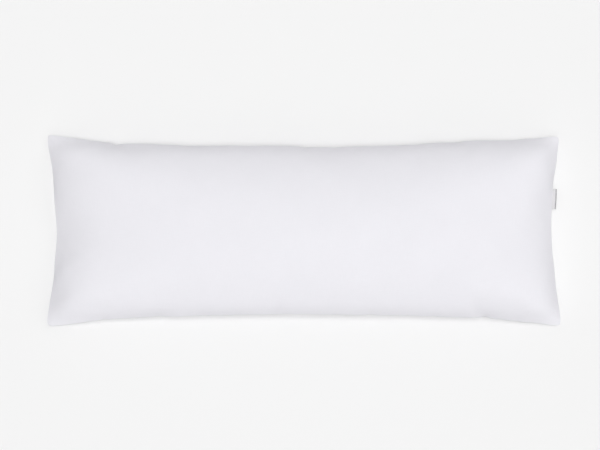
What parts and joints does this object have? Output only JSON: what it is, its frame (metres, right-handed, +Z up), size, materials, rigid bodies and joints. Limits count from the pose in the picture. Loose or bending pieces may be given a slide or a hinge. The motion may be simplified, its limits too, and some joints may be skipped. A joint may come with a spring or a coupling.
{
  "type": "body pillow",
  "caption": "Long filled body pillow with a full crown, drawn-in sides, flat splayed corners, a plain closed seam and a small folded label in one short seam.",
  "frame": {"origin": "on the resting surface, under the middle of the outline", "axes": "+X along the length, toward the end with the label; +Y across the width; +Z up out of the upper face"},
  "size_m": [1.3472, 0.5002, 0.14],
  "materials": {
    "pillow": "matt plain-woven cotton",
    "side_label": "woven ribbon, slight sheen"
  },
  "bodies": {
    "root": {"pillow": "pillow", "side_label": "side_label"}
  },
  "joints": []
}
